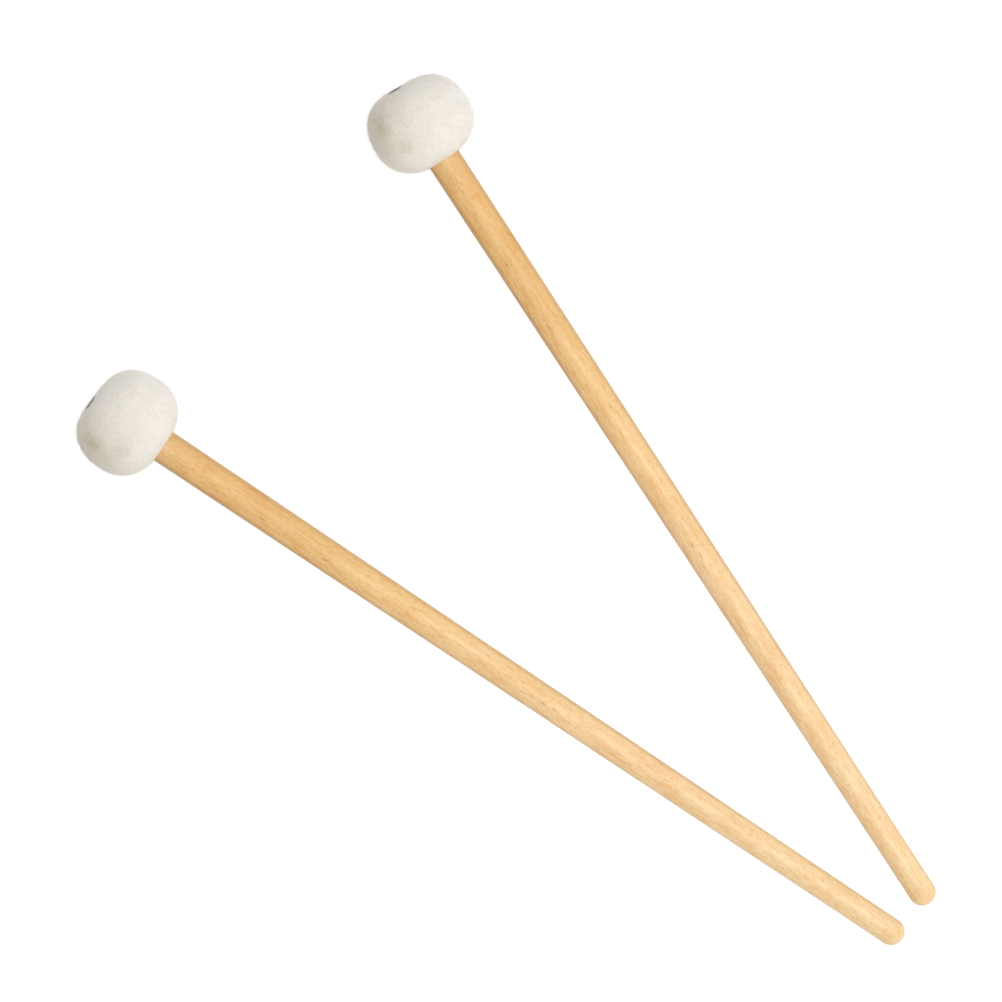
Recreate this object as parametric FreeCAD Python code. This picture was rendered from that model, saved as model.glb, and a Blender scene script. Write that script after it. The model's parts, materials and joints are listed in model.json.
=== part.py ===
"""Pair of timpani mallets, lying on a flat surface in a V with the heads apart.

Each mallet is turned about its own axis. Stations along that axis run from 0 at the crown of the head
to overall_length at the end of the butt. The pair's frame has its origin on the surface, under the
middle of the pair, with +X along the middle of the V towards the heads, and +Z up.
"""

import FreeCAD
import Part

import math
import os

from FreeCAD import Vector

# One mallet, in millimetres
overall_length = 370.0
head_diameter = 40.0
head_length = 33.5  # crown to where the skirt of the felt would close on the axis
widest_station = 18.2
crown_fullness = 2.6  # exponents of the head's outline: 2 is an ellipse, more is squarer
skirt_fullness = 2.3

# Layers of the head
cover_thickness = 4.5
liner_thickness = 5.5  # at the sides of the core
crown_depth = 8.5  # crown of the head to the top of the core
skirt_depth = 8.0  # bottom of the core to the closed end of the skirt
core_edge_radius = 2.0

# Handle
shaft_diameter = 13.0  # at the head
butt_diameter = 10.3
grip_end_length = 20.0  # straight round stretch in front of the domed butt
tenon_diameter = 9.0
tenon_chamfer = 0.8
core_roof = 3.0  # wood of the core above the end of the tenon

# Countersunk wood screw and its raised washer
screw_diameter = 3.5
screw_length = 22.0
screw_head_diameter = 7.0
screw_dome = 0.45  # oval rise of the head above the washer
screw_point = 3.5
recess_width = 0.8
recess_span = 3.8
recess_depth = 1.7
washer_rim = 1.3  # washer outside the screw head, on each side
washer_land = 0.05  # straight stretch of the washer's hole under the countersink
washer_slope = 0.45  # fall of the washer's top from the screw head to its edge

# Clearances
glue_gap = 0.05  # tenon in core, core in liner, liner in cover
felt_gap = 0.1  # felt round the handle, the washer and the screw
countersink_gap = 0.05
tenon_end_gap = 0.2
screw_hole_gap = 0.2
pilot_gap = 0.03
pilot_extra = 1.0
overcut = 1.0  # how far a cut starts or ends outside the piece

# How the pair lies
spread_angle = 23.04  # between the two handles, in degrees
butt_gap = 8.6  # clear space between the two butts
stagger = 2.4  # how much further forward the mallet at -Y lies

head_radius = head_diameter / 2
skirt_length = head_length - widest_station
core_radius = head_radius - cover_thickness - liner_thickness
core_top = crown_depth
core_bottom = head_length - skirt_depth
tenon_radius = tenon_diameter / 2
tenon_end = core_top + core_roof + tenon_end_gap
shaft_radius = shaft_diameter / 2
butt_radius = butt_diameter / 2
butt_station = overall_length - butt_radius
screw_radius = screw_diameter / 2
screw_head_radius = screw_head_diameter / 2
countersink_depth = screw_head_radius - screw_radius  # a 90 degree countersink
washer_radius = screw_head_radius + washer_rim
washer_bottom = screw_dome + countersink_depth + washer_land


def turned(edges):
    """Solid of revolution about the mallet's axis, from an open outline that starts and ends on it."""
    first, last = edges[0].Vertexes[0].Point, edges[-1].Vertexes[-1].Point
    face = Part.Face(Part.Wire(edges + [Part.makeLine(last, first)]))
    return face.revolve(Vector(0, 0, 0), Vector(1, 0, 0), 360)


def lines(*corners):
    """Straight edges through (station, radius) corners."""
    points = [Vector(station, radius, 0) for station, radius in corners]
    return [Part.makeLine(a, b) for a, b in zip(points, points[1:])]


def arc(start, middle, end):
    """Circular edge through three (station, radius) points."""
    return Part.Arc(*(Vector(s, r, 0) for s, r in (start, middle, end))).toShape()


def turned_ring(*corners):
    """Ring about the mallet's axis, whose section has these (station, radius) corners."""
    face = Part.Face(Part.Wire(lines(*corners, corners[0])))
    return face.revolve(Vector(0, 0, 0), Vector(1, 0, 0), 360)


def bore(radius, start, end):
    """Round hole on the axis, to be cut away."""
    return turned(lines((start, 0), (start, radius), (end, radius), (end, 0)))


def quarter_outline(length, radius, fullness, spans=13):
    """Superellipse quarter as (distance from the widest section, radius), from the axis outwards."""
    angles = [math.pi / 2 * i / spans for i in range(spans + 1)]
    power = 2 / fullness
    return [
        (length * abs(math.cos(angle)) ** power, radius * math.sin(angle) ** power) for angle in angles
    ]


def head_curve(side, inset):
    """Outline of the crown (side -1) or the skirt (side 1), from the axis to the widest section."""
    length, fullness = (skirt_length, skirt_fullness) if side > 0 else (widest_station, crown_fullness)
    quarter = quarter_outline(length - inset, head_radius - inset, fullness)
    points = [Vector(widest_station + side * distance, radius, 0) for distance, radius in quarter]
    curve = Part.BSplineCurve()
    curve.interpolate(Points=points, InitialTangent=Vector(0, 1, 0), FinalTangent=Vector(-side, 0, 0))
    return curve


def head_shape(inset):
    """The rounded head, with its whole surface moved inwards by inset."""
    crown, skirt = head_curve(-1, inset), head_curve(1, inset)
    skirt.reverse()
    return turned([crown.toShape(), skirt.toShape()])


def core_blank(extra=0.0):
    """The core's outside, a round-edged cylinder, grown by extra on every side."""
    start, end, radius = core_top - extra, core_bottom + extra, core_radius + extra
    edge = core_edge_radius + extra
    lean = edge * (1 - math.sqrt(0.5))
    return turned(
        lines((start, 0), (start, radius - edge))
        + [arc((start, radius - edge), (start + lean, radius - lean), (start + edge, radius))]
        + lines((start + edge, radius), (end - edge, radius))
        + [arc((end - edge, radius), (end - lean, radius - lean), (end, radius - edge))]
        + lines((end, radius - edge), (end, 0))
    )


def make_handle():
    """Tenon, shoulder, tapered shaft, straight grip end and domed butt, with the screw's pilot hole."""
    grip_start = butt_station - grip_end_length
    dome = butt_radius * math.sqrt(0.5)
    outline = lines(
        (tenon_end, 0),
        (tenon_end, tenon_radius - tenon_chamfer),
        (tenon_end + tenon_chamfer, tenon_radius),
        (core_bottom, tenon_radius),
        (core_bottom, shaft_radius),
        (grip_start, butt_radius),
        (butt_station, butt_radius),
    )
    butt = arc((butt_station, butt_radius), (butt_station + dome, dome), (overall_length, 0))
    pilot = bore(screw_radius + pilot_gap, tenon_end - overcut, screw_length + pilot_extra)
    return turned(outline + [butt]).cut(pilot)


def make_head_core():
    """Turned spool with a blind bore for the tenon and a clearance hole for the screw."""
    tenon_bore = bore(tenon_radius + glue_gap, tenon_end - tenon_end_gap, core_bottom + overcut)
    screw_hole = bore(screw_radius + screw_hole_gap, core_top - overcut, tenon_end)
    return core_blank().cut(tenon_bore).cut(screw_hole)


def shaft_opening():
    """What the shaft needs where it passes through both felts."""
    return bore(shaft_radius + felt_gap, core_bottom, head_length + overcut)


def felt_screw_hole():
    return bore(screw_radius + felt_gap, -overcut, core_top + overcut)


def make_inner_felt():
    """Felt liner between the core and the cover."""
    outside = head_shape(cover_thickness + glue_gap)
    return outside.cut(core_blank(glue_gap)).cut(shaft_opening()).cut(felt_screw_hole())


def make_felt_cover():
    """Soft outer felt, with the pocket that the washer is drawn down into."""
    pocket = bore(washer_radius + felt_gap, -overcut, washer_bottom)
    shell = head_shape(0).cut(head_shape(cover_thickness))
    return shell.cut(shaft_opening()).cut(pocket).cut(felt_screw_hole())


def make_washer():
    """Raised washer, countersunk for the screw."""
    mouth = screw_head_radius + countersink_gap
    hole = screw_radius + countersink_gap
    land_start = screw_dome + mouth - hole
    return turned_ring(
        (screw_dome, mouth),
        (screw_dome + washer_slope, washer_radius),
        (washer_bottom, washer_radius),
        (washer_bottom, hole),
        (land_start, hole),
    )


def make_screw():
    """Wood screw with an oval countersunk head, a cross recess, a plain shank and a point."""
    rim = (screw_dome, screw_head_radius)
    dome_radius = (screw_head_radius**2 + screw_dome**2) / (2 * screw_dome)
    half = math.asin(screw_head_radius / dome_radius) / 2
    middle = (dome_radius * (1 - math.cos(half)), dome_radius * math.sin(half))
    body = turned(
        [arc((0, 0), middle, rim)]
        + lines(
            rim,
            (screw_dome + countersink_depth, screw_radius),
            (screw_length - screw_point, screw_radius),
            (screw_length, 0),
        )
    )
    recess = turned(
        lines(
            (-overcut, 0),
            (-overcut, recess_span / 2),
            (0, recess_span / 2),
            (recess_depth, recess_width / 2),
            (recess_depth, 0),
        )
    )
    for width, height in ((recess_width, recess_span), (recess_span, recess_width)):
        corner = Vector(-overcut, -width / 2, -height / 2)
        slot = Part.makeBox(recess_depth + overcut, width, height, corner)
        body = body.cut(slot.common(recess))
    return body


def support(length, fullness, slope):
    """Distance from the head's widest section to a flat surface touching it, at this slope in radians."""
    dual = fullness / (fullness - 1)
    return ((length * math.sin(slope)) ** dual + (head_radius * math.cos(slope)) ** dual) ** (1 / dual)


def resting_tilt():
    """Slope of the axis when the belly of the head and the butt lie on one surface."""
    tilt = 0.0
    for _ in range(12):
        drop = support(skirt_length, skirt_fullness, tilt) - butt_radius
        tilt = math.asin(drop / (butt_station - widest_station))
    return tilt


def place_on_surface(shape, side):
    """Lays a mallet down: side -1 is the one at -Y, and +1 the one at +Y."""
    tilt, turn = resting_tilt(), math.radians(spread_angle / 2)
    forward = math.cos(tilt) * math.cos(turn)
    reach = support(widest_station, crown_fullness, math.pi / 2 - math.acos(forward))
    butt_x = -((butt_station - widest_station) * forward + reach - butt_radius + side * stagger) / 2
    butt_centre = Vector(butt_x, side * (butt_gap + butt_diameter) / 2, butt_radius)
    rotation = FreeCAD.Rotation(Vector(0, 0, 1), 180 + side * math.degrees(turn)).multiply(
        FreeCAD.Rotation(Vector(0, 1, 0), math.degrees(tilt))
    )
    crown = butt_centre - rotation.multVec(Vector(butt_station, 0, 0))
    placed = shape.copy()
    placed.Placement = FreeCAD.Placement(crown, rotation)
    return placed


pieces = {
    "handle": make_handle,
    "head_core": make_head_core,
    "inner_felt": make_inner_felt,
    "felt_cover": make_felt_cover,
    "washer": make_washer,
    "screw": make_screw,
}

os.makedirs("parts", exist_ok=True)
for name, make in pieces.items():
    piece = make()
    for suffix, side in (("a", -1), ("b", 1)):
        place_on_surface(piece, side).exportStep(f"parts/{name}_{suffix}.step")
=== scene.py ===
"""Pair of timpani mallets: white felt heads on tapered beech handles, lying in a V on a pale floor.

Every visible piece is turned about its own mallet's axis, so it is made in that mallet's own space
(x from the crown of the head to the butt, z away from the floor) and then laid where the frame has it.
"""

import json
import math

import bmesh
import bpy
import numpy as np
from mathutils import Matrix, Vector, noise


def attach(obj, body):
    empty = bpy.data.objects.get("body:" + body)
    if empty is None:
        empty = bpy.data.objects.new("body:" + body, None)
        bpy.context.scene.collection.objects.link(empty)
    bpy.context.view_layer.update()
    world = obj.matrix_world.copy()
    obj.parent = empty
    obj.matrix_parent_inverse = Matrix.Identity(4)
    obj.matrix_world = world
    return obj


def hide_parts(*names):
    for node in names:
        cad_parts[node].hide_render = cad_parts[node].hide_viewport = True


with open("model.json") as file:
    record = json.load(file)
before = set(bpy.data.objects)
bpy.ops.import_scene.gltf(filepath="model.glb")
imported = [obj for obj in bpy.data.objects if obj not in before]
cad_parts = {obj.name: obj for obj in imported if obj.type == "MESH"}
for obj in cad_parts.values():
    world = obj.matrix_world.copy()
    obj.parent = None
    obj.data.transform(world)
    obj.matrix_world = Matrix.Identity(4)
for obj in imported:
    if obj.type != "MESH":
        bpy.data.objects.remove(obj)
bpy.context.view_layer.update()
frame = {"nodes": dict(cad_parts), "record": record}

MM = 0.001
CLOSE = 0.02 * MM  # corners of a CAD node this close to an end or an edge lie on it

# Felt head
CROWN_FULLNESS = 2.5  # how square the outline is: 2 is an ellipse
SKIRT_FULLNESS = 2.2
CAVITY_CROWN_FULLNESS = 2.6  # the liner inside is a little squarer
CAVITY_SKIRT_FULLNESS = 2.3
COVER_THICKNESS = 4.5 * MM
POCKET_RADIUS = 4.9 * MM
RIM_ROUNDING = 0.45 * MM
SCREW_HOLE_SHARE = 0.45  # the screw's hole in the felt, as a share of the washer's pocket
MOUTH_RELIEF = 0.05  # radians by which the cavity starts clear of the handle
HEAD_SPOKES = 320
CROWN_ROWS = 84
SKIRT_ROWS = 72
RIM_ROWS = 8  # rows inside the pocket that move with the crown
CLOTH_SPOKES = 96
CLOTH_ROWS = 40
CLOTH_FRAMES = 20
NAP_DEPTH = 0.35 * MM  # the skin lies this far under the head's full size, and the nap stands up to it
FELT_TRAVEL = 0.35 * MM  # how far the drawn-up cover may move from its turned shape
FELT_SMOOTHING = 4  # rounds of evening out that movement
RELIEF = ((0.055 * MM, 300.0), (0.035 * MM, 900.0))  # (height, lumps per metre)
SIDE_SET = -0.2 * MM  # the felt sits a little to one side of the handle
CROWN_SLANT = 0.075  # the crown leans to one side, taking the washer and the screw head with it
CROWN_SLANT_WIDTH = 15 * MM
CROWN_SLANT_DEPTH = 6 * MM
CROWN_SINK = 0.3 * MM  # the felt has sunk round the washer
CROWN_SINK_WIDTH = 8 * MM
WORN_RIM = 1.25 * MM  # how much further it has sunk at one side of the washer
WORN_CENTRE = -2.0 * MM
WORN_WIDTH = 2.8 * MM
SCREWED_HOME = 0.35 * MM  # how far the screw has drawn the washer in
FUZZ_PER_M2 = 1.9e6
FUZZ_LENGTH = 1.5 * MM
FUZZ_RADIUS = 0.014 * MM
FIBRE_TIP = 0.2  # how thick a fibre's tip is, as a share of its root
FIBRE_SHARES = (0.45, 1.3)  # shortest and longest, as shares of FUZZ_LENGTH
FIBRE_ROOT = (0, 0, -0.05)
FIBRE_BENDS = (  # middle and end of each kind of fibre, one unit long, standing on its root
    ((0.35, 0.20, 0.30), (1.00, -0.05, 0.16)),
    ((0.45, -0.25, 0.34), (0.85, 0.20, 0.24)),
    ((0.20, 0.10, 0.42), (0.70, 0.15, 0.40)),
    ((0.50, 0.05, 0.14), (1.15, 0.30, 0.05)),
)

# Turned wood and metal
SHAFT_SPOKES = 128
TURNING_STEP = 2.5 * MM
METAL_SPOKES = 96
TURNING_CHATTER = 0.02 * MM
THREAD_SPOKES = 48
THREAD_PITCH = 1.3 * MM
THREAD_DEPTH = 0.45 * MM
SCREW_POINT = 3.5 * MM
RECESS_DEPTH = 1.7 * MM
SCREW_DOME = 0.15 * MM  # how far the oval head stands up from its rim
RECESS_TURN = {"a": 20, "b": 64}  # degrees, as each screw happened to stop

# Colours, as the light from each falls back
# painted shadow: the beech is darker where it meets the felt head
BEECH_SHADED_BY_HEAD = (0.80, 0.55, 0.27)
BEECH_HONEY = (0.87, 0.575, 0.255)
BEECH_STRAW = (0.93, 0.65, 0.325)
BEECH_CREAM = (0.97, 0.72, 0.42)
BEECH_PALE = (0.98, 0.75, 0.45)
BEECH_LATE = (0.92, 0.76, 0.57)
BEECH_CLOUD = (0.95, 0.86, 0.755)
BEECH_FLECK = (0.66, 0.50, 0.34)
# painted shade along both flanks of the stick
BEECH_FLANK_SHADE = (0.715, 0.63, 0.47)
CORE_WOOD = (0.72, 0.52, 0.30)
FELT_SHADE = (0.79, 0.745, 0.67)
FELT_BODY = (0.86, 0.815, 0.745)
FELT_LIGHT = (0.93, 0.895, 0.835)
# partly wear and partly painted shade: darker and warmer towards the -y side and the crown
FELT_WORN_AND_SHADED = (0.86, 0.83, 0.78)
# darker and warmer on the -y side of the head
FELT_MINUS_Y_BAND = (0.86, 0.83, 0.77)
# partly wear where it strikes, partly painted shade: greyer towards the crown
FELT_STRUCK_AND_SHADED = (0.925, 0.915, 0.905)
FELT_SMUDGE = (0.80, 0.75, 0.66)
LINER_SHADE = (0.42, 0.41, 0.39)
LINER_BODY = (0.52, 0.51, 0.48)
LINER_LIGHT = (0.62, 0.61, 0.58)
# partly real steel, partly painted shade: washer and screw darkened to stand in for the shade in the recess
WASHER_DARK = (0.18, 0.18, 0.185)
WASHER_BRIGHT = (0.32, 0.32, 0.325)
SCREW_DARK = (0.25, 0.25, 0.26)
SCREW_BRIGHT = (0.42, 0.42, 0.43)
FLOOR_SHADE = (0.14, 0.14, 0.14)
FLOOR_WHITE = (0.16, 0.16, 0.16)

# Patterns, with each scale in lumps to the metre along and across the grain
LATE_WOOD_SCALE = (19, 130, 130)
LATE_WOOD_LINES = 24
CLOUD_SCALE = (45, 160, 160)
RAY_SCALE = (520, 1100, 1100)
GRAIN_SCALE = (130, 1600, 1600)
FLECK_SCALE = (330, 1900, 1900)
NICK_SIZE = (1.7, 0.32)  # mm along and across
# painted shade: bands that darken both flanks of the stick
FLANK_SHADE_BANDS = ((3.9, 5.9, 0.7, 1.1), (-4.3, -6.0, 0.9, 0.7))  # mm across at start and full, share by head and butt
FELT_STRANDS = ((260, 2600, 1500), (2300, 420, 1500), (1400, 1600, 300))
SCUFF_SCALE = (420, 900, 900)
NICKS = ((206, -1.2), (211, -0.7), (79, -2.2), (107, -1.6), (145, 1.5))  # mm from the crown and across
SMUDGES = (((9.7, -13.7, 12.7), 6.5, 0.8), ((21.2, -9.7, 17.0), 4.6, 0.65))  # (mm place, mm radius, strength)

# Studio
FLOOR_WIDTH = 60
FLOOR_GLOW = 0.92
SKY_LEVEL = 0.40
SKY_COLOUR = (1.0, 1.0, 1.0)
KEY_SIZE = (1.6, 1.2)
KEY_DISTANCE = 2.2
KEY_TURN = -134.6  # degrees round from +X
KEY_RISE = 74
KEY_WATTS = 32
KEY_COLOUR = (1.0, 0.99, 0.97)

# Camera, straight above and a little to the heads' side
CAMERA_TARGET = Vector((42.57 * MM, -0.26 * MM, 0))
CAMERA_DISTANCE = 3.0
CAMERA_LEAN = math.radians(1)
CAMERA_TURN = math.radians(-44.699)
CAMERA_LENS = 283.82


class Mallet:
    """Where one mallet lies, and its main stations and radii, read from its CAD nodes."""

    def __init__(self, suffix):
        self.suffix = suffix
        self.body = f"mallet_{suffix}"
        mounts = {m["name"]: m for m in frame["record"]["mounts"]}
        grip = mounts[f"butt_{suffix}"]
        along = Vector(grip["axis"]).normalized()
        up = (Vector((0, 0, 1)) - along * along.z).normalized()
        turn = Matrix((along, up.cross(along), up)).transposed()
        self.place = Matrix.Translation(Vector(grip["pos_m"])) @ turn.to_4x4()
        crown = self.turned_points("screw")[:, 0].min()
        self.place = self.place @ Matrix.Translation((crown, 0, 0))
        half = grip["dims"]["length_mm"] * MM / 2
        self.grip_start, self.grip_end = -crown - half, -crown + half
        self.butt_radius = grip["dims"]["r_mm"] * MM

        handle, cover = self.turned_points("handle"), self.turned_points("felt_cover")
        core, washer = self.turned_points("head_core"), self.turned_points("washer")
        self.length = handle[:, 0].max()
        self.tenon_end = handle[:, 0].min()
        self.shoulder = core[:, 0].max()
        self.shaft_radius = handle[:, 1].max()
        self.tenon_radius = handle[handle[:, 0] < self.shoulder - MM, 1].max()
        self.head_radius = cover[:, 1].max()
        self.widest = cover[cover[:, 1].argmax(), 0]
        self.washer_start, self.washer_end = washer[:, 0].min(), washer[:, 0].max()
        self.washer_radius = washer[:, 1].max()
        self.mouth_radius = self.shaft_radius
        mouth_share = self.mouth_radius / self.head_radius
        self.skirt_length = (cover[:, 0].max() - self.widest) / (
            (1 - mouth_share**SKIRT_FULLNESS) ** (1 / SKIRT_FULLNESS)
        )

    def turned_points(self, node):
        """A CAD node's corners as (station along the axis, distance from it)."""
        data = frame["nodes"][f"{node}_{self.suffix}"].data
        points = np.zeros(len(data.vertices) * 3)
        data.vertices.foreach_get("co", points)
        inverse = np.array(self.place.inverted())
        points = points.reshape(-1, 3) @ inverse[:3, :3].T + inverse[:3, 3]
        return np.stack([points[:, 0], np.hypot(points[:, 1], points[:, 2])], axis=1)


def smooth_step(value, low, high):
    t = np.clip((value - low) / (high - low), 0, 1)
    return t * t * (3 - 2 * t)


def add_node(tree, kind, inputs=(), **settings):
    """A node with its settings, and its inputs set to values or linked to sockets, by name or index."""
    made = tree.nodes.new(kind)
    for name, value in settings.items():
        setattr(made, name, value)
    for socket, value in dict(inputs).items():
        if isinstance(value, bpy.types.NodeSocket):
            tree.links.new(value, made.inputs[socket])
        else:
            made.inputs[socket].default_value = value
    return made


# ---------------------------------------------------------------- meshes


def ring_points(outline, spokes):
    """Corners of a turned shape, as an array of rings by spokes by three, from (station, radius) pairs."""
    angle = np.arange(spokes) * 2 * math.pi / spokes
    outline = np.array(outline)
    x = np.repeat(outline[:, :1], spokes, axis=1)
    return np.stack([x, outline[:, 1:] * np.cos(angle), outline[:, 1:] * np.sin(angle)], axis=2)


def skin_rings(name, rings, closed=False):
    """Smooth mesh object over rings of corners. A shape that isn't closed along its outline gets end caps."""
    count, spokes = rings.shape[:2]
    ring = np.arange(count if closed else count - 1)[:, None]
    spoke = np.arange(spokes)[None, :]
    after, beside = (ring + 1) % count, (spoke + 1) % spokes
    near, far = ring * spokes, after * spokes
    quads = np.stack([near + spoke, near + beside, far + beside, far + spoke], axis=2)
    corners, faces = rings.reshape(-1, 3).tolist(), quads.reshape(-1, 4).tolist()
    if not closed:
        for end in (0, count - 1):
            centre = len(corners)
            corners.append(rings[end].mean(axis=0).tolist())
            loop = [end * spokes + s for s in range(spokes)]
            faces += [(centre, a, b) for a, b in zip(loop, loop[1:] + loop[:1])]
    data = bpy.data.meshes.new(name)
    data.from_pydata(corners, [], faces)
    built = bmesh.new()
    built.from_mesh(data)
    bmesh.ops.recalc_face_normals(built, faces=built.faces)
    built.to_mesh(data)
    built.free()
    data.shade_smooth()
    piece = bpy.data.objects.new(name, data)
    bpy.context.scene.collection.objects.link(piece)
    return piece


def finish_piece(piece, mallet, material, replaces=()):
    """Lays a piece made in its mallet's own space where the frame has it, and hangs it on the body."""
    piece.data.transform(mallet.place)
    if material is not None:
        piece.data.materials.clear()
        piece.data.materials.append(material)
    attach(piece, mallet.body)
    if replaces:
        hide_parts(*(f"{node}_{mallet.suffix}" for node in replaces))
    return piece


# ---------------------------------------------------------------- felt head


def cover_outline(mallet):
    """Section of the felt cover as (station, radius): pocket, rim, crown, side, skirt, mouth, inside."""
    crown, skirt, widest = mallet.widest, mallet.skirt_length, mallet.head_radius - NAP_DEPTH
    floor, mouth = mallet.washer_end + SCREWED_HOME, mallet.mouth_radius
    rim = POCKET_RADIUS + RIM_ROUNDING
    hole = POCKET_RADIUS * SCREW_HOLE_SHARE

    def quarter(side, length, radius, fullness, low, high, count):
        """Corners on a superellipse quarter, from angle 0 on the axis to a right angle at the side."""
        power = 2 / fullness
        return [
            (crown + side * length * abs(math.cos(t)) ** power, radius * math.sin(t) ** power)
            for t in np.linspace(low, high, count)
        ]

    def angle_at(radius, fullness):
        return math.asin((radius / widest) ** (fullness / 2))

    right = math.pi / 2
    front = crown - NAP_DEPTH
    outside = quarter(-1, front, widest, CROWN_FULLNESS, angle_at(rim, CROWN_FULLNESS), right, CROWN_ROWS)
    top = outside[0][0]
    pocket = [(floor, hole), (floor, (hole + POCKET_RADIUS) / 2), (floor, POCKET_RADIUS - RIM_ROUNDING / 3)]
    pocket += [(s, POCKET_RADIUS) for s in np.linspace(floor - RIM_ROUNDING / 3, top + RIM_ROUNDING, 6)]
    pocket += [
        (top + RIM_ROUNDING * (1 - math.sin(t)), rim - RIM_ROUNDING * math.cos(t))
        for t in np.linspace(0, right, 7)[1:-1]
    ]
    lip = angle_at(mouth + RIM_ROUNDING / 2, SKIRT_FULLNESS)
    outside += quarter(1, skirt, widest, SKIRT_FULLNESS, right, lip, SKIRT_ROWS)[1:]
    end = outside[-1][0]
    outside += [(end - RIM_ROUNDING * 0.2, mouth + RIM_ROUNDING / 6), (end - RIM_ROUNDING, mouth)]
    inner_end = crown + skirt - COVER_THICKNESS
    outside += [(s, mouth) for s in np.linspace(end - 3 * RIM_ROUNDING, inner_end, 3)]
    inner = widest - COVER_THICKNESS
    mouth_angle = math.asin((mouth / inner) ** (CAVITY_SKIRT_FULLNESS / 2)) + MOUTH_RELIEF
    hole_angle = math.asin((hole / inner) ** (CAVITY_CROWN_FULLNESS / 2))
    inside = quarter(1, skirt - COVER_THICKNESS, inner, CAVITY_SKIRT_FULLNESS, mouth_angle, right, 10)
    inside += quarter(-1, crown - COVER_THICKNESS, inner, CAVITY_CROWN_FULLNESS, right, hole_angle, 12)[1:]
    return pocket + outside + inside, len(pocket)


def crown_lean(rings):
    """How far back the lean of the crown takes each corner."""
    x, y, z = rings[:, :, 0], rings[:, :, 1], rings[:, :, 2]
    near = ((y * y + z * z) / CROWN_SLANT_WIDTH**2) + (x / CROWN_SLANT_DEPTH) ** 2
    return CROWN_SLANT * y * np.exp(-near)


def draw_up_felt(rings, held):
    """Lets the outer skin settle as cloth between its held rings, and returns how far each corner moved."""
    count, spokes = rings.shape[:2]
    skin = skin_rings("felt_skin", rings)
    group = skin.vertex_groups.new(name="held")
    for ring, weight in held.items():
        group.add([ring * spokes + s for s in range(spokes)], weight, "REPLACE")
    caps = range(count * spokes, len(skin.data.vertices))
    group.add(list(caps), 1.0, "REPLACE")
    cloth = skin.modifiers.new("drawn up", "CLOTH")
    settings = cloth.settings
    settings.quality = 5
    settings.mass = 0.02
    settings.tension_stiffness = settings.compression_stiffness = 12
    settings.shear_stiffness = 6
    settings.bending_stiffness = 2
    settings.use_pressure = True
    settings.uniform_pressure_force = 4
    settings.shrink_min = -0.02
    settings.vertex_group_mass = "held"
    settings.effector_weights.gravity = 0
    scene = bpy.context.scene
    for number in range(1, CLOTH_FRAMES + 1):
        scene.frame_set(number)
    settled = skin.evaluated_get(bpy.context.evaluated_depsgraph_get()).to_mesh()
    corners = np.zeros(len(settled.vertices) * 3)
    settled.vertices.foreach_get("co", corners)
    moved = corners.reshape(-1, 3)[: count * spokes].reshape(count, spokes, 3) - rings
    scene.frame_set(1)
    bpy.data.objects.remove(skin)
    far = np.linalg.norm(moved, axis=2, keepdims=True)
    moved *= np.minimum(1, FELT_TRAVEL / np.maximum(far, 1e-9))
    for _ in range(FELT_SMOOTHING):
        moved = (np.roll(moved, 1, axis=1) + 2 * moved + np.roll(moved, -1, axis=1)) / 4
        moved[1:-1] = (moved[:-2] + 2 * moved[1:-1] + moved[2:]) / 4
    return moved


def spread_move(moved, rows, spokes):
    """Carries the coarse skin's movement to finer rings and spokes, smoothly round the head."""
    coarse_rows, coarse_spokes = moved.shape[:2]
    at = np.arange(spokes) * coarse_spokes / spokes
    low, part = np.floor(at).astype(int), (at % 1)[None, :, None]
    round_head = moved[:, low % coarse_spokes] * (1 - part) + moved[:, (low + 1) % coarse_spokes] * part
    at = np.linspace(0, coarse_rows - 1, rows)
    low, part = np.minimum(np.floor(at).astype(int), coarse_rows - 2), at[:, None, None]
    part = part - low[:, None, None]
    return round_head[low] * (1 - part) + round_head[low + 1] * part


def felt_cover(mallet):
    """The white felt: turned section, drawn up as cloth, set slightly to one side, sunk beside the washer
    where it has worn, and with the shallow lumps of wool felt."""
    outline, rim_row = cover_outline(mallet)
    rings = ring_points(outline, HEAD_SPOKES)
    mouth_row = rim_row + CROWN_ROWS + SKIRT_ROWS - 2
    rows = np.linspace(rim_row, mouth_row, CLOTH_ROWS).round().astype(int)
    coarse = ring_points([outline[r] for r in rows], CLOTH_SPOKES)
    last = len(rows) - 1
    moved = draw_up_felt(coarse, {0: 1.0, 1: 0.6, last - 1: 0.6, last: 1.0})
    rings[rim_row : mouth_row + 1] += spread_move(moved, mouth_row + 1 - rim_row, HEAD_SPOKES)

    x, y, z = rings[:, :, 0], rings[:, :, 1], rings[:, :, 2]
    radius = np.hypot(y, z)
    outer = np.zeros(x.shape)
    outer[rim_row - RIM_ROWS : mouth_row + 1] = 1
    sunk = CROWN_SINK * np.exp(-((radius / CROWN_SINK_WIDTH) ** 2)) * np.exp(-((x / CROWN_SLANT_DEPTH) ** 2))
    worn = WORN_RIM * np.exp(-(((y - WORN_CENTRE) / WORN_WIDTH) ** 4)) * smooth_step(z, 0, POCKET_RADIUS)
    worn *= np.exp(-(((radius - POCKET_RADIUS) / (6 * RIM_ROUNDING)) ** 2)) * np.exp(-((x / (4 * MM)) ** 2))
    to_mouth = 1 - smooth_step(x, mallet.widest, mallet.widest + mallet.skirt_length * 0.8)
    from_pocket = smooth_step(radius, POCKET_RADIUS, 3 * POCKET_RADIUS)
    rings[:, :, 0] += outer * (crown_lean(rings) + sunk + worn)
    rings[:, :, 1] += outer * SIDE_SET * to_mouth * from_pocket

    cover = skin_rings(f"white_felt_{mallet.suffix}", rings, closed=True)
    add_relief(cover)
    nap = cover.data.attributes.new("nap", "FLOAT", "POINT")
    nap.data.foreach_set("value", (outer * smooth_step(radius, POCKET_RADIUS, 1.2 * POCKET_RADIUS)).ravel())
    return cover


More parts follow.
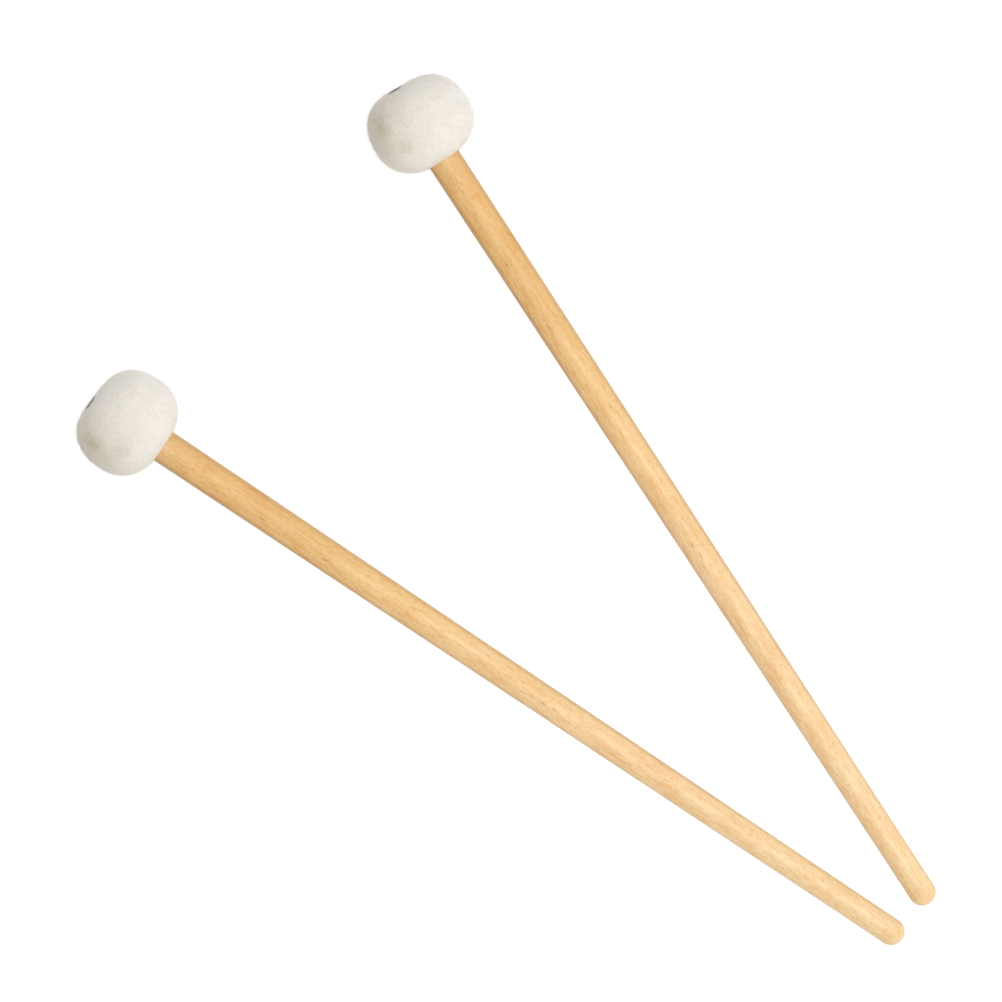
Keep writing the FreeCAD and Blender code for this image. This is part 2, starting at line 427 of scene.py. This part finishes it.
def add_relief(piece):
    """Moves each corner along its normal by the soft lumps of the felt."""
    data = piece.data
    corners, normals = (np.zeros(len(data.vertices) * 3) for _ in range(2))
    data.vertices.foreach_get("co", corners)
    data.vertices.foreach_get("normal", normals)
    corners, normals = corners.reshape(-1, 3), normals.reshape(-1, 3)
    lift = [
        sum(height * noise.noise(Vector(corner) * lumps) for height, lumps in RELIEF) for corner in corners
    ]
    data.vertices.foreach_set("co", (corners + normals * np.array(lift)[:, None]).ravel())
    data.update()


# ---------------------------------------------------------------- felt nap


def fibre_tree(material):
    """Geometry Nodes tree that scatters short bent wool fibres over the skin of a head."""
    tree = bpy.data.node_groups.new("felt nap", "GeometryNodeTree")
    face = tree.interface
    face.new_socket("Skin", in_out="INPUT", socket_type="NodeSocketGeometry")
    for name in ("Fibres per m2", "Fibre Length", "Fibre Radius"):
        face.new_socket(name, in_out="INPUT", socket_type="NodeSocketFloat")
    face.new_socket("Seed", in_out="INPUT", socket_type="NodeSocketInt")
    face.new_socket("Fibres", in_out="OUTPUT", socket_type="NodeSocketGeometry")

    def node(kind, inputs=(), **settings):
        return add_node(tree, kind, inputs, **settings)

    given = tree.nodes.new("NodeGroupInput").outputs
    nap = node("GeometryNodeInputNamedAttribute", {"Name": "nap"}, data_type="FLOAT").outputs["Attribute"]
    density = node("ShaderNodeMath", {0: nap, 1: given["Fibres per m2"]}, operation="MULTIPLY").outputs[0]
    points = node(
        "GeometryNodeDistributePointsOnFaces",
        {"Mesh": given["Skin"], "Density": density, "Seed": given["Seed"]},
        distribute_method="RANDOM",
    )
    profile = node("GeometryNodeCurvePrimitiveCircle", {"Resolution": 3, "Radius": given["Fibre Radius"]})
    along = node("GeometryNodeSplineParameter").outputs["Factor"]
    taper = node("ShaderNodeMath", {0: along, 1: FIBRE_TIP - 1, 2: 1.0}, operation="MULTIPLY_ADD").outputs[0]
    shapes = node("GeometryNodeGeometryToInstance")
    length = node("ShaderNodeCombineXYZ", {i: given["Fibre Length"] for i in range(3)}).outputs[0]
    for middle, end in FIBRE_BENDS:
        curve = node(
            "GeometryNodeCurveQuadraticBezier",
            {"Resolution": 3, "Start": FIBRE_ROOT, "Middle": middle, "End": end},
        )
        sized = node("GeometryNodeTransform", {"Geometry": curve.outputs[0], "Scale": length})
        radius = node("GeometryNodeSetCurveRadius", {"Curve": sized.outputs[0], "Radius": taper})
        solid = node(
            "GeometryNodeCurveToMesh",
            {"Curve": radius.outputs[0], "Profile Curve": profile.outputs[0], "Fill Caps": True},
        )
        tree.links.new(solid.outputs[0], shapes.inputs[0])
    spin = node(
        "FunctionNodeRandomValue",
        {"Min": (0, 0, -math.pi), "Max": (0, 0, math.pi), "Seed": given["Seed"]},
        data_type="FLOAT_VECTOR",
    )
    turned = node(
        "FunctionNodeRotateRotation",
        {"Rotation": points.outputs["Rotation"], "Rotate By": spin.outputs["Value"]},
        rotation_space="LOCAL",
    )
    shortest, longest = FIBRE_SHARES
    size = node(
        "FunctionNodeRandomValue", {2: shortest, 3: longest, "Seed": given["Seed"]}, data_type="FLOAT"
    )
    which = node(
        "FunctionNodeRandomValue",
        {4: 0, 5: len(FIBRE_BENDS) - 1, "Seed": given["Seed"]},
        data_type="INT",
    )
    spread = node(
        "GeometryNodeInstanceOnPoints",
        {
            "Points": points.outputs["Points"],
            "Instance": shapes.outputs[0],
            "Pick Instance": True,
            "Instance Index": which.outputs[2],
            "Rotation": turned.outputs[0],
            "Scale": size.outputs[1],
        },
    )
    solid = node("GeometryNodeRealizeInstances", {"Geometry": spread.outputs[0]})
    finished = node("GeometryNodeSetMaterial", {"Geometry": solid.outputs[0], "Material": material})
    smooth = node("GeometryNodeSetShadeSmooth", {"Geometry": finished.outputs[0]})
    output = tree.nodes.new("NodeGroupOutput")
    tree.links.new(smooth.outputs[0], output.inputs[0])
    return tree


def felt_nap(mallet, cover, tree, seed):
    """The loose fibres that stand off one head, as one plain mesh."""
    carrier = bpy.data.objects.new("nap carrier", cover.data)
    bpy.context.scene.collection.objects.link(carrier)
    modifier = carrier.modifiers.new("nap", "NODES")
    modifier.node_group = tree
    values = {
        "Fibres per m2": FUZZ_PER_M2,
        "Fibre Length": FUZZ_LENGTH,
        "Fibre Radius": FUZZ_RADIUS,
        "Seed": seed,
    }
    for socket in tree.interface.items_tree:
        if socket.name in values:
            modifier[socket.identifier] = values[socket.name]
    carrier.update_tag()
    evaluated = carrier.evaluated_get(bpy.context.evaluated_depsgraph_get())
    data = bpy.data.meshes.new_from_object(evaluated)
    bpy.data.objects.remove(carrier)
    nap = bpy.data.objects.new(f"felt_nap_{mallet.suffix}", data)
    bpy.context.scene.collection.objects.link(nap)
    return nap


# ---------------------------------------------------------------- turned wood and metal


def handle_piece(mallet):
    """Beech stick: tenon, shoulder, tapered shaft, straight grip end and domed butt."""
    edge = 0.4 * MM
    outline = [
        (mallet.tenon_end, mallet.tenon_radius - edge),
        (mallet.tenon_end + edge, mallet.tenon_radius),
        (mallet.shoulder - edge / 4, mallet.tenon_radius),
        (mallet.shoulder, mallet.tenon_radius + edge / 4),
        (mallet.shoulder, mallet.shaft_radius - edge),
    ]
    steps = round((mallet.grip_start - mallet.shoulder) / TURNING_STEP)
    for share in np.linspace(edge / 2 / (mallet.grip_start - mallet.shoulder), 1, steps):
        station = mallet.shoulder + share * (mallet.grip_start - mallet.shoulder)
        radius = mallet.shaft_radius + share * (mallet.butt_radius - mallet.shaft_radius)
        chatter = TURNING_CHATTER * noise.noise(Vector((station / (11 * MM), 0, 0)))
        outline.append((station, radius + chatter * math.sin(math.pi * share)))
    outline += [(s, mallet.butt_radius) for s in np.linspace(mallet.grip_start, mallet.grip_end, 9)[1:]]
    dome = mallet.length - mallet.grip_end
    outline += [
        (mallet.grip_end + dome * math.sin(t), mallet.butt_radius * math.cos(t))
        for t in np.linspace(0, math.pi / 2, 28)[1:-1]
    ]
    return skin_rings(f"beech_handle_{mallet.suffix}", ring_points(outline, SHAFT_SPOKES))


def softened(corners, size, steps=4):
    """A closed section with each corner rounded off by up to size."""
    points = []
    for index, corner in enumerate(corners):
        here = np.array(corner)
        sides = [np.array(corners[index - 1]) - here, np.array(corners[(index + 1) % len(corners)]) - here]
        start, end = (here + side * min(size / np.linalg.norm(side), 0.45) for side in sides)
        for t in np.linspace(0, 1, steps):
            points.append(tuple((1 - t) ** 2 * start + 2 * t * (1 - t) * here + t * t * end))
    return points


def washer_piece(mallet):
    """Raised steel washer with a countersunk hole and broken edges."""
    points = mallet.turned_points("washer")
    start, end, outer, hole = mallet.washer_start, mallet.washer_end, mallet.washer_radius, points[:, 1].min()
    mouth = points[points[:, 0] < start + CLOSE, 1].min()
    shoulder = points[points[:, 1] > outer - CLOSE, 0].min()
    section = [(start, mouth), (shoulder, outer), (end, outer), (end, hole), (start + mouth - hole, hole)]
    rings = ring_points(softened(section, 0.14 * MM), METAL_SPOKES)
    rings[:, :, 0] += crown_lean(rings) + SCREWED_HOME
    return skin_rings(f"steel_washer_{mallet.suffix}", rings, closed=True)


def screw_piece(mallet):
    """Countersunk wood screw: oval head with a cross recess, plain shank, thread and point."""
    points = mallet.turned_points("screw")
    shank, tip = points[points[:, 0] > mallet.washer_end + MM, 1].max(), points[:, 0].max()
    head = points[:, 1].max()
    rim = points[points[:, 1] > head - CLOSE, 0].max()
    outline = [(rim - SCREW_DOME * (1 - t * t), head * t) for t in np.linspace(0.04, 0.98, 16)]
    outline += [(rim + 0.04 * MM, head), (rim + 0.1 * MM, head - 0.04 * MM)]
    cone = rim + head - shank
    outline += [(cone, shank)]
    thread_start = cone + 3 * MM
    outline += [(s, shank) for s in np.arange(thread_start, tip, THREAD_PITCH / 10)]
    rings = ring_points(outline, THREAD_SPOKES)
    x = rings[:, :, 0]
    turn = np.arange(THREAD_SPOKES)[None, :] / THREAD_SPOKES
    ridge = np.abs((x / THREAD_PITCH - turn) % 1 - 0.5) * 2
    depth = THREAD_DEPTH * smooth_step(x, thread_start, thread_start + MM) * np.sqrt(np.clip(1 - ridge, 0, 1))
    point = np.clip((tip - x) / SCREW_POINT, 0.02, 1)
    scale = (shank - depth) / shank * point
    scale[x < thread_start] = 1
    rings[:, :, 1:] *= scale[:, :, None]
    rings[:, :, 0] += crown_lean(rings) + SCREWED_HOME
    screw = skin_rings(f"wood_screw_{mallet.suffix}", rings)

    arm, half = head * 0.54, head * 0.12
    arm_end, cross = [(half, half), (half, arm), (-half, arm)], []
    for _ in range(4):
        cross += arm_end
        arm_end = [(-y, x) for x, y in arm_end]
    levels = ((-0.2 * MM, 1.06), (RECESS_DEPTH * 0.5, 0.8), (RECESS_DEPTH, 0.34))
    turned = Matrix.Rotation(math.radians(RECESS_TURN[mallet.suffix]), 2)
    layers = [
        [(s, *(turned @ (Vector(corner) * share))) for corner in reversed(cross)] for s, share in levels
    ]
    cutter = skin_rings("recess cutter", np.array(layers))
    cut = screw.modifiers.new("recess", "BOOLEAN")
    cut.operation, cut.object, cut.solver = "DIFFERENCE", cutter, "EXACT"
    made = bpy.data.meshes.new_from_object(screw.evaluated_get(bpy.context.evaluated_depsgraph_get()))
    screw.modifiers.clear()
    screw.data = made
    bpy.data.objects.remove(cutter)
    screw.data.shade_smooth()
    screw.data.set_sharp_from_angle(angle=math.radians(35))
    return screw


# ---------------------------------------------------------------- finishes


class Finish:
    """A node material, mixed step by step in one mallet's own space."""

    def __init__(self, name, place, **surface):
        self.material = bpy.data.materials.new(name)
        self.material.use_nodes = True
        self.tree = self.material.node_tree
        self.surface = self.tree.nodes["Principled BSDF"]
        for socket, value in surface.items():
            self.surface.inputs[socket.replace("_", " ")].default_value = value
        object_space = self.node("ShaderNodeTexCoord").outputs["Object"]
        self.space = self.node(
            "ShaderNodeMapping",
            {"Vector": object_space, "Location": place.translation, "Rotation": place.to_euler()},
            vector_type="TEXTURE",
        ).outputs[0]
        self.x, self.y, self.z = self.node("ShaderNodeSeparateXYZ", {0: self.space}).outputs

    def node(self, kind, inputs=(), **settings):
        return add_node(self.tree, kind, inputs, **settings)

    def sum(self, a, b, operation="ADD"):
        return self.node("ShaderNodeMath", {0: a, 1: b}, operation=operation).outputs[0]

    def times(self, a, b):
        return self.sum(a, b, "MULTIPLY")

    def scaled(self, low, high, value, to_low=0.0, to_high=1.0):
        """value, eased from low to high into to_low to to_high."""
        return self.node(
            "ShaderNodeMapRange",
            {"Value": value, "From Min": low, "From Max": high, "To Min": to_low, "To Max": to_high},
            interpolation_type="SMOOTHSTEP",
        ).outputs[0]

    def stretched(self, factors, offset=(0, 0, 0)):
        """The mallet's space drawn out by these factors, for grain and fibres that run one way."""
        return self.node(
            "ShaderNodeMapping", {"Vector": self.space, "Scale": factors, "Location": offset}
        ).outputs[0]

    def noise(self, scale, vector=None, detail=2.0, roughness=0.5, distortion=0.0):
        """Cloudy noise about one half, scale lumps to the metre."""
        return self.node(
            "ShaderNodeTexNoise",
            {
                "Vector": vector or self.space,
                "Scale": scale,
                "Detail": detail,
                "Roughness": roughness,
                "Distortion": distortion,
            },
        ).outputs[0]

    def spot(self, centre, radius, ragged=0.0, scale=400.0):
        """One at a place, fading to nothing at radius, with a ragged edge."""
        away = self.node("ShaderNodeVectorMath", {0: self.space, 1: centre}, operation="DISTANCE").outputs[1]
        if ragged:
            away = self.sum(away, self.times(self.sum(self.noise(scale), -0.5), ragged))
        return self.scaled(radius, 0.0, away)

    def colours(self, value, stops):
        """Colours along a value from 0 to 1."""
        ramp = self.node("ShaderNodeValToRGB", {0: value})
        points = ramp.color_ramp.elements
        for place, colour in stops[2:]:
            points.new(place)
        for point, (place, colour) in zip(points, stops):
            point.position = place
        for point, (place, colour) in zip(points, stops):
            point.color = (*colour, 1)
        return ramp.outputs[0]

    def mixed(self, factor, a, b, blend="MIX"):
        """Colour a turned to b by factor."""
        mixer = self.node("ShaderNodeMix", data_type="RGBA", blend_type=blend)
        for index, value in ((0, factor), (6, a), (7, b)):
            if isinstance(value, bpy.types.NodeSocket):
                self.tree.links.new(value, mixer.inputs[index])
            else:
                mixer.inputs[index].default_value = value if index == 0 else (*value, 1)
        return mixer.outputs[2]

    def colour(self, value):
        self.tree.links.new(value, self.surface.inputs["Base Color"])

    def roughness(self, value):
        self.tree.links.new(value, self.surface.inputs["Roughness"])

    def bump(self, height, distance):
        """Relief of that many metres where height goes from 0 to 1."""
        bump = self.node("ShaderNodeBump", {"Height": height, "Distance": distance, "Strength": 1.0})
        self.tree.links.new(bump.outputs[0], self.surface.inputs["Normal"])


def lacquered_beech(mallet):
    """Clear-lacquered beech: honey near the head, paler to the grip, with late wood, pores and rays, and
    painted shade where it meets the head, on the -y side and along both flanks.
    """
    wood = Finish(
        f"lacquered beech {mallet.suffix}",
        mallet.place,
        Coat_Weight=0.12,
        Coat_Roughness=0.45,
        Specular_IOR_Level=0.25,
    )
    tone = wood.colours(
        wood.node("ShaderNodeMapRange", {"Value": wood.x, "From Max": mallet.length}).outputs[0],
        [
            # painted shadow: darker next to the head, easing to honey by 13 % of the length
            (0.0, BEECH_SHADED_BY_HEAD),
            (0.09, BEECH_SHADED_BY_HEAD),
            (0.13, BEECH_HONEY),
            (0.26, BEECH_HONEY),
            (0.38, BEECH_STRAW),
            (0.62, BEECH_CREAM),
            (1.0, BEECH_PALE),
        ],
    )
    field = wood.noise(1.0, wood.stretched(LATE_WOOD_SCALE, (2, 0, 4)), detail=3, roughness=0.5)
    lines = wood.sum(wood.times(field, LATE_WOOD_LINES), 1.0, "PINGPONG")
    late_wood = wood.scaled(0.5, 1.0, lines)
    # painted shade: the late-wood lines are darker towards the -y side of the stick
    shaded_side = wood.scaled(3 * MM, -5 * MM, wood.y, 0.15, 0.65)
    tone = wood.mixed(wood.times(late_wood, shaded_side), tone, BEECH_LATE, "MULTIPLY")
    cloudy = wood.noise(1.0, wood.stretched(CLOUD_SCALE), detail=2)
    tone = wood.mixed(wood.scaled(0.4, 0.7, cloudy, 0.0, 0.6), tone, BEECH_CLOUD, "MULTIPLY")
    rays = wood.noise(1.0, wood.stretched(RAY_SCALE, (0, 5, 2)), detail=2, roughness=0.65)
    tone = wood.mixed(wood.scaled(0.42, 0.68, rays, 0.0, 0.9), tone, BEECH_CLOUD, "MULTIPLY")
    grain = wood.noise(1.0, wood.stretched(GRAIN_SCALE), detail=3, roughness=0.65, distortion=0.4)
    tone = wood.mixed(wood.scaled(0.46, 0.72, grain, 0.0, 0.75), tone, BEECH_LATE, "MULTIPLY")
    flecks = wood.noise(1.0, wood.stretched(FLECK_SCALE, (3, 1, 7)), detail=1)
    flecks = wood.scaled(0.69, 0.78, flecks)
    long, wide = NICK_SIZE
    nicks = [
        wood.node(
            "ShaderNodeVectorMath",
            {0: wood.stretched((1 / (long * MM), 1 / (wide * MM), 0)), 1: (x / long, y / wide, 0)},
            operation="DISTANCE",
        ).outputs[1]
        for x, y in NICKS
    ]
    nearest = nicks[0]
    for nick in nicks[1:]:
        nearest = wood.sum(nearest, nick, "MINIMUM")
    ragged = wood.sum(nearest, wood.times(wood.sum(wood.noise(2600), -0.5), 1.6))
    upper = wood.scaled(0.0, MM, wood.z)
    marks = wood.sum(wood.times(flecks, 0.6), wood.times(wood.scaled(1.1, 0.2, ragged), upper), "MAXIMUM")
    tone = wood.mixed(marks, tone, BEECH_FLECK, "MULTIPLY")
    # painted shade: both flanks of the stick darkened, from 90 mm behind the crown onwards
    flank_shade = [
        wood.times(
            wood.scaled(start * MM, full * MM, wood.y),
            wood.scaled(90 * MM, 240 * MM, wood.x, by_head, by_butt),
        )
        for start, full, by_head, by_butt in FLANK_SHADE_BANDS
    ]
    wood.colour(wood.mixed(wood.sum(*flank_shade), tone, BEECH_FLANK_SHADE, "MULTIPLY"))
    wood.roughness(wood.scaled(0.3, 0.7, cloudy, 0.34, 0.46))
    height = wood.sum(wood.times(grain, 0.6), wood.times(wood.sum(flecks, late_wood), -0.4))
    wood.bump(height, 0.03 * MM)
    return wood.material


def wool_felt(name, place, colours, relief):
    """Needled wool felt: fine crossing fibres in cloudy wool, colours being (shade, body, light)."""
    shade, body, light = colours
    felt = Finish(
        name, place, Roughness=0.95, Specular_IOR_Level=0.15, Sheen_Weight=0.25, Sheen_Roughness=0.6
    )
    clouds = felt.noise(150, detail=4, roughness=0.55)
    tufts = felt.noise(900, detail=3, roughness=0.6, distortion=0.8)
    strands = [
        felt.noise(1.0, felt.stretched(factors), detail=3, roughness=0.7, distortion=0.35)
        for factors in FELT_STRANDS
    ]
    fibres = felt.sum(felt.sum(strands[0], strands[1], "MAXIMUM"), strands[2], "MAXIMUM")
    tone = felt.mixed(felt.scaled(0.3, 0.65, clouds), shade, body)
    tone = felt.mixed(felt.scaled(0.35, 0.66, tufts, 0.0, 0.8), tone, light)
    tone = felt.mixed(felt.scaled(0.5, 0.68, fibres, 0.0, 0.6), tone, light)
    felt.bump(felt.sum(felt.times(tufts, 0.5), fibres), relief)
    return felt, tone


def white_felt(mallet):
    """White wool felt, greyer and warmer towards the crown and the -y side, partly wear where it strikes and
    is handled and partly painted shade, with two soft smudges.
    """
    felt, tone = wool_felt(
        f"white wool felt {mallet.suffix}", mallet.place, (FELT_SHADE, FELT_BODY, FELT_LIGHT), 0.09 * MM
    )
    # partly wear, partly painted shade: darker towards the -y side, and more so near the crown
    worn_and_shaded = felt.times(felt.scaled(6 * MM, -18 * MM, felt.y), felt.scaled(26 * MM, 2 * MM, felt.x, 0.25, 1.0))
    tone = felt.mixed(worn_and_shaded, tone, FELT_WORN_AND_SHADED, "MULTIPLY")
    # darker and warmer on the -y side, from 3 mm behind the crown, strongest from 14 to 28 mm
    minus_y_band = felt.times(felt.scaled(3 * MM, 14 * MM, felt.x), felt.scaled(28 * MM, 14 * MM, felt.x, 0.5, 1.0))
    minus_y_band = felt.times(minus_y_band, felt.scaled(-9 * MM, -17 * MM, felt.y))
    tone = felt.mixed(minus_y_band, tone, FELT_MINUS_Y_BAND, "MULTIPLY")
    scuffs = felt.noise(1.0, felt.stretched(SCUFF_SCALE), detail=3, roughness=0.65, distortion=1.2)
    scuffed = felt.times(felt.scaled(13 * MM, 5 * MM, felt.x), felt.scaled(-7 * MM, -13 * MM, felt.y))
    tone = felt.mixed(felt.times(felt.scaled(0.5, 0.7, scuffs), scuffed), tone, FELT_SMUDGE, "MULTIPLY")
    # partly wear, partly painted shade: darker and cooler towards the crown
    struck_and_shaded = felt.scaled(15 * MM, -2 * MM, felt.x)
    tone = felt.mixed(struck_and_shaded, tone, FELT_STRUCK_AND_SHADED, "MULTIPLY")
    for centre, radius, strength in SMUDGES:
        smudge = felt.spot([value * MM for value in centre], radius * MM, ragged=7 * MM, scale=230)
        tone = felt.mixed(felt.times(smudge, strength), tone, FELT_SMUDGE, "MULTIPLY")
    felt.colour(tone)
    return felt.material


def wool_nap(mallet):
    """Single wool fibres, each a slightly different white."""
    wool = Finish(f"wool nap {mallet.suffix}", mallet.place, Roughness=0.9, Sheen_Weight=0.2)
    wool.colour(wool.mixed(wool.scaled(0.35, 0.65, wool.noise(900, detail=1)), FELT_BODY, FELT_LIGHT))
    return wool.material


def liner_felt(mallet):
    """The denser grey inner felt."""
    felt, tone = wool_felt(
        f"inner felt {mallet.suffix}", mallet.place, (LINER_SHADE, LINER_BODY, LINER_LIGHT), 0.06 * MM
    )
    felt.colour(tone)
    return felt.material


def plain_core(mallet):
    """The unlacquered wood core, its rings seen round the head."""
    wood = Finish(f"core wood {mallet.suffix}", mallet.place, Specular_IOR_Level=0.3)
    wander = wood.times(wood.sum(wood.noise(60), -0.5), 3 * MM)
    ring_place = wood.node("ShaderNodeCombineXYZ", {0: wood.sum(wood.z, wander)})
    rings = wood.node(
        "ShaderNodeTexWave", {"Vector": ring_place.outputs[0], "Scale": 28, "Distortion": 1.5}
    ).outputs[1]
    grain = wood.noise(1.0, wood.stretched((160, 2200, 2200)), detail=4)
    tone = wood.mixed(wood.scaled(0.4, 0.9, rings, 0.0, 0.7), CORE_WOOD, BEECH_LATE, "MULTIPLY")
    wood.colour(wood.mixed(wood.scaled(0.45, 0.75, grain, 0.0, 0.5), tone, BEECH_LATE, "MULTIPLY"))
    wood.roughness(wood.scaled(0.3, 0.7, grain, 0.55, 0.7))
    wood.bump(grain, 0.04 * MM)
    return wood.material


def turned_steel(name, mallet, dark, bright, rough):
    """Steel with the fine rings that the lathe leaves, dulled in patches, and brighter where it is rubbed."""
    steel = Finish(name, mallet.place, Metallic=1.0)
    from_axis = steel.sum(
        steel.sum(steel.times(steel.y, steel.y), steel.times(steel.z, steel.z)), 0.5, "POWER"
    )
    scores = steel.node("ShaderNodeCombineXYZ", {0: from_axis, 1: steel.x}).outputs[0]
    scores = steel.noise(9000, scores, detail=2)
    patches = steel.noise(600, detail=4, roughness=0.6)
    steel.colour(steel.mixed(steel.scaled(0.35, 0.75, patches), dark, bright))
    dulled = steel.scaled(0.3, 0.7, patches, rough - 0.08, rough + 0.1)
    steel.roughness(steel.sum(dulled, steel.times(scores, 0.08)))
    steel.bump(scores, 0.004 * MM)
    return steel.material


# ---------------------------------------------------------------- studio


def lay_floor():
    """Pale sheet that the mallets lie on, faintly mottled like card."""
    half = FLOOR_WIDTH / 2
    data = bpy.data.meshes.new("floor")
    corners = [(-half, -half, 0), (half, -half, 0), (half, half, 0), (-half, half, 0)]
    data.from_pydata(corners, [], [(0, 1, 2, 3)])
    floor = bpy.data.objects.new("floor", data)
    bpy.context.scene.collection.objects.link(floor)
    card = Finish("pale card", Matrix(), Roughness=0.9, Specular_IOR_Level=0.1, Emission_Strength=FLOOR_GLOW)
    card.surface.inputs["Emission Color"].default_value = (1, 1, 1, 1)
    card.colour(card.mixed(card.noise(40, detail=3), FLOOR_SHADE, FLOOR_WHITE))
    data.materials.append(card.material)


def light_studio():
    """Soft pale surroundings, brighter towards the horizon, and one large soft light on the heads' side."""
    world = bpy.data.worlds.new("studio")
    world.use_nodes = True
    tree = world.node_tree
    direction = add_node(tree, "ShaderNodeTexCoord").outputs["Generated"]
    height = add_node(tree, "ShaderNodeSeparateXYZ", {0: direction}).outputs[2]
    glow = add_node(
        tree,
        "ShaderNodeMapRange",
        {"Value": height, "From Min": 0.04, "From Max": 0.2, "To Min": 1.05, "To Max": SKY_LEVEL},
        interpolation_type="SMOOTHSTEP",
    ).outputs[0]
    tree.links.new(glow, tree.nodes["Background"].inputs["Strength"])
    tree.nodes["Background"].inputs["Color"].default_value = (*SKY_COLOUR, 1)
    bpy.context.scene.world = world

    data = bpy.data.lights.new("soft box", "AREA")
    data.shape = "RECTANGLE"
    data.size, data.size_y = KEY_SIZE
    data.energy = KEY_WATTS
    data.color = KEY_COLOUR
    light = bpy.data.objects.new("soft box", data)
    bpy.context.scene.collection.objects.link(light)
    turn = math.radians(KEY_TURN)
    rise = math.radians(KEY_RISE)
    towards = Vector((math.cos(turn) * math.cos(rise), math.sin(turn) * math.cos(rise), math.sin(rise)))
    light.location = towards * KEY_DISTANCE
    light.rotation_euler = towards.to_track_quat("Z", "Y").to_euler()


def set_camera():
    """Long lens above the mallets, leaning a little to the heads' side and turned across the V."""
    towards = Vector((math.sin(CAMERA_LEAN), 0, math.cos(CAMERA_LEAN)))
    up = Vector((math.cos(CAMERA_TURN), math.sin(CAMERA_TURN), 0))
    right = up.cross(towards).normalized()
    up = towards.cross(right)
    data = bpy.data.cameras.new("camera")
    data.lens = CAMERA_LENS
    data.clip_end = 100
    camera = bpy.data.objects.new("camera", data)
    bpy.context.scene.collection.objects.link(camera)
    camera.matrix_world = Matrix.Translation(CAMERA_TARGET + towards * CAMERA_DISTANCE) @ Matrix(
        (right, up, towards)
    ).transposed().to_4x4()
    bpy.context.scene.camera = camera


# ---------------------------------------------------------------- the pair


def make_mallet(suffix, seed):
    mallet = Mallet(suffix)
    cover = felt_cover(mallet)
    nap = felt_nap(mallet, cover, fibre_tree(wool_nap(mallet)), seed)
    finish_piece(cover, mallet, white_felt(mallet), ["felt_cover"])
    finish_piece(nap, mallet, None)
    finish_piece(handle_piece(mallet), mallet, lacquered_beech(mallet), ["handle"])
    # steel darkened as painted shade of the recess round the screw
    washer_steel = turned_steel(f"dark washer steel with painted shade {suffix}", mallet, WASHER_DARK, WASHER_BRIGHT, 0.5)
    finish_piece(washer_piece(mallet), mallet, washer_steel, ["washer"])
    screw_steel = turned_steel(f"dark screw steel with painted shade {suffix}", mallet, SCREW_DARK, SCREW_BRIGHT, 0.3)
    finish_piece(screw_piece(mallet), mallet, screw_steel, ["screw"])
    for node, material in (("head_core", plain_core(mallet)), ("inner_felt", liner_felt(mallet))):
        frame["nodes"][f"{node}_{suffix}"].data.materials.clear()
        frame["nodes"][f"{node}_{suffix}"].data.materials.append(material)


make_mallet("a", 3)
make_mallet("b", 8)
lay_floor()
light_studio()
set_camera()
bpy.context.scene.view_settings.view_transform = "Standard"
